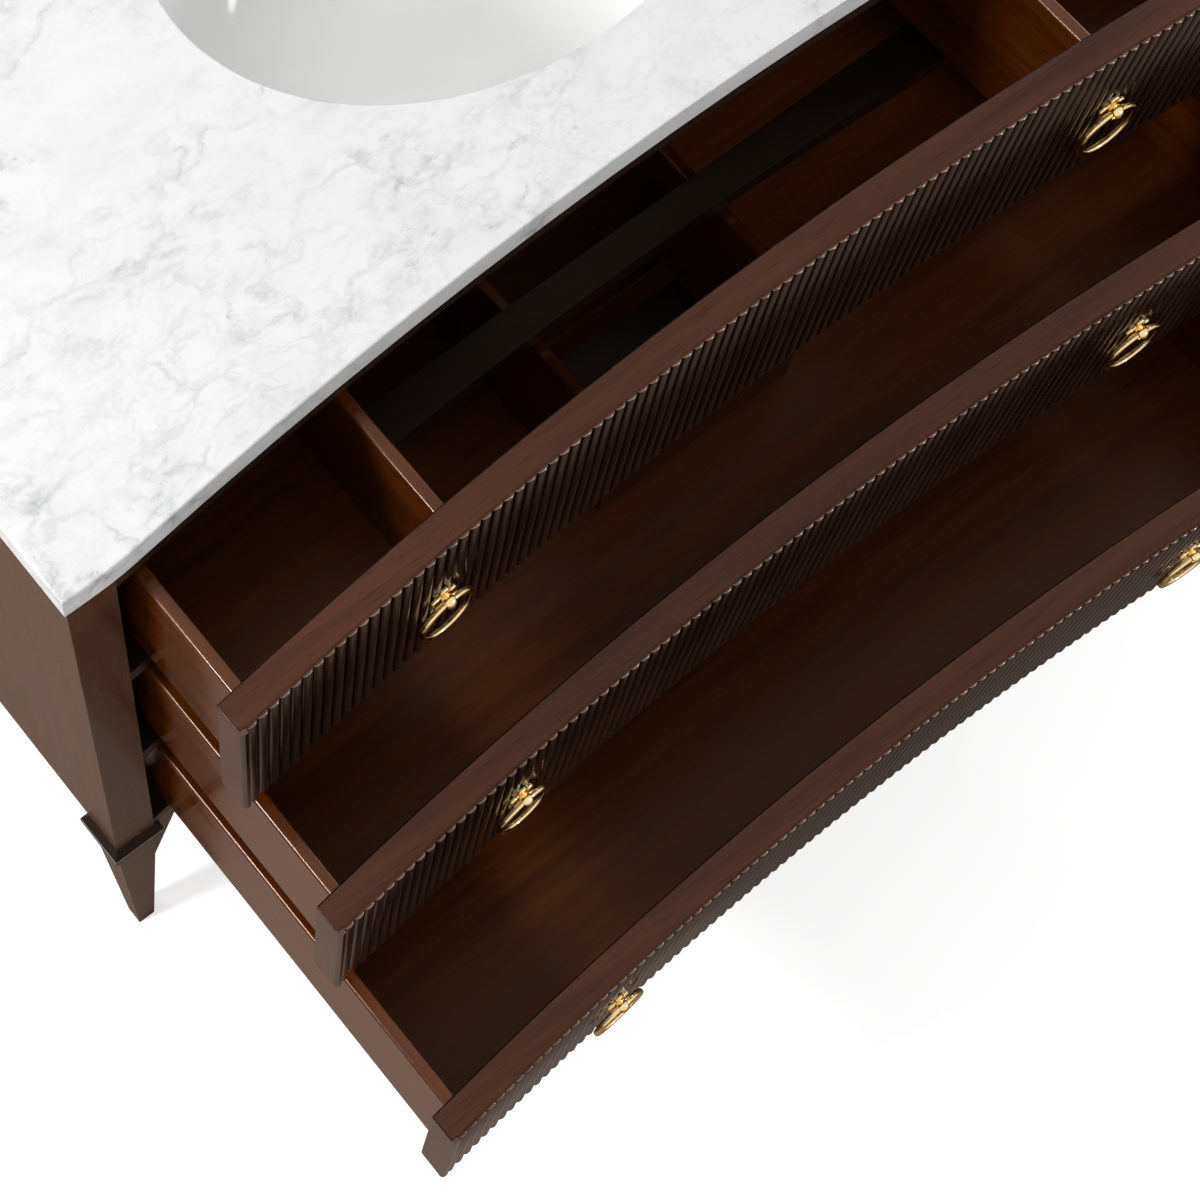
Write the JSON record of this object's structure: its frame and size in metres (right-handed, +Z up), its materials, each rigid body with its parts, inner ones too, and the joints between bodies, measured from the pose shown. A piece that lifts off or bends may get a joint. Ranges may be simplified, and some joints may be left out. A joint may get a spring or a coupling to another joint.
{
  "type": "sink chest",
  "caption": "Hollow-fronted bathroom chest on tapered legs with a marble top, undermount oval basin, reeded drawer fronts and hanging ring pulls, drawers standing open in steps.",
  "frame": {"origin": "on the floor under the middle of the case", "axes": "+X to the right seen from the front, +Y to the back, +Z up"},
  "size_m": [1.138, 0.9722, 0.893],
  "materials": {
    "marble": "honed white marble with soft grey veins",
    "basin_glaze": "glossy white glaze",
    "steel_fittings": "zinc plated",
    "polished_brass": "polished and lacquered",
    "collar_finish": "ebonised, satin",
    "reeded_mahogany": "dark stained, semi-gloss lacquer",
    "front_mahogany": "dark stained, satin lacquer",
    "drawer_mahogany": "reddish stain, satin lacquer",
    "runner_wood": "waxed hardwood",
    "back_board": "dark stained plywood",
    "case_mahogany": "dark stained, satin lacquer"
  },
  "bodies": {
    "case": {"back_panel": "back_board", "basin": "basin_glaze", "basin_clips": "steel_fittings", "bottom_panel": "back_board", "bottom_rail": "case_mahogany", "bottom_runner_left": "runner_wood", "bottom_runner_right": "runner_wood", "leg_collars": "collar_finish", "leg_front_left": "case_mahogany", "leg_front_right": "case_mahogany", "leg_rear_left": "case_mahogany", "leg_rear_right": "case_mahogany", "lower_rail": "case_mahogany", "marble_top": "marble", "middle_runner_left": "runner_wood", "middle_runner_right": "runner_wood", "side_panel_left": "case_mahogany", "side_panel_right": "case_mahogany", "top_rail": "case_mahogany", "top_runner_left": "runner_wood", "top_runner_right": "runner_wood", "upper_rail": "case_mahogany"},
    "top_drawer": {"top_drawer_back_left": "drawer_mahogany", "top_drawer_back_right": "drawer_mahogany", "top_drawer_divider_left": "drawer_mahogany", "top_drawer_divider_right": "drawer_mahogany", "top_drawer_floor_left": "drawer_mahogany", "top_drawer_floor_right": "drawer_mahogany", "top_drawer_front": "front_mahogany", "top_drawer_reeding": "reeded_mahogany", "top_drawer_side_left": "drawer_mahogany", "top_drawer_side_right": "drawer_mahogany", "top_pull_posts": "polished_brass", "top_pull_screws": "steel_fittings"},
    "top_left_ring": {"top_ring_left": "polished_brass"},
    "top_right_ring": {"top_ring_right": "polished_brass"},
    "middle_drawer": {"middle_drawer_back_left": "drawer_mahogany", "middle_drawer_back_right": "drawer_mahogany", "middle_drawer_floor": "drawer_mahogany", "middle_drawer_front": "front_mahogany", "middle_drawer_reeding": "reeded_mahogany", "middle_drawer_side_left": "drawer_mahogany", "middle_drawer_side_right": "drawer_mahogany", "middle_drawer_well_front": "drawer_mahogany", "middle_drawer_well_left": "drawer_mahogany", "middle_drawer_well_right": "drawer_mahogany", "middle_pull_posts": "polished_brass", "middle_pull_screws": "steel_fittings"},
    "middle_left_ring": {"middle_ring_left": "polished_brass"},
    "middle_right_ring": {"middle_ring_right": "polished_brass"},
    "bottom_drawer": {"bottom_drawer_back": "drawer_mahogany", "bottom_drawer_floor": "drawer_mahogany", "bottom_drawer_front": "front_mahogany", "bottom_drawer_reeding": "reeded_mahogany", "bottom_drawer_side_left": "drawer_mahogany", "bottom_drawer_side_right": "drawer_mahogany", "bottom_pull_posts": "polished_brass", "bottom_pull_screws": "steel_fittings"},
    "bottom_left_ring": {"bottom_ring_left": "polished_brass"},
    "bottom_right_ring": {"bottom_ring_right": "polished_brass"}
  },
  "joints": [
    {"name": "top_drawer_slide", "type": "slide", "parent": "case", "child": "top_drawer", "axis": [0, -1, 0], "range_m": [-0.1375, 0.2775]},
    {"name": "middle_drawer_slide", "type": "slide", "parent": "case", "child": "middle_drawer", "axis": [0, -1, 0], "range_m": [-0.2505, 0.1645]},
    {"name": "bottom_drawer_slide", "type": "slide", "parent": "case", "child": "bottom_drawer", "axis": [0, -1, 0], "range_m": [-0.4015, 0.0135]},
    {"name": "top_left_ring_swing", "type": "hinge", "parent": "top_drawer", "child": "top_left_ring", "pos_m": [-0.32546, -0.40664, 0.7676], "axis": [-0.9969, -0.0788, 0], "range_deg": [-3, 150]},
    {"name": "top_right_ring_swing", "type": "hinge", "parent": "top_drawer", "child": "top_right_ring", "pos_m": [0.32546, -0.40664, 0.7676], "axis": [-0.9969, 0.0788, 0], "range_deg": [-3, 150]},
    {"name": "middle_left_ring_swing", "type": "hinge", "parent": "middle_drawer", "child": "middle_left_ring", "pos_m": [-0.32546, -0.51964, 0.5796], "axis": [-0.9969, -0.0788, 0], "range_deg": [-3, 150]},
    {"name": "middle_right_ring_swing", "type": "hinge", "parent": "middle_drawer", "child": "middle_right_ring", "pos_m": [0.32546, -0.51964, 0.5796], "axis": [-0.9969, 0.0788, 0], "range_deg": [-3, 150]},
    {"name": "bottom_left_ring_swing", "type": "hinge", "parent": "bottom_drawer", "child": "bottom_left_ring", "pos_m": [-0.32546, -0.67064, 0.3916], "axis": [-0.9969, -0.0788, 0], "range_deg": [-3, 150]},
    {"name": "bottom_right_ring_swing", "type": "hinge", "parent": "bottom_drawer", "child": "bottom_right_ring", "pos_m": [0.32546, -0.67064, 0.3916], "axis": [-0.9969, 0.0788, 0], "range_deg": [-3, 150]}
  ]
}
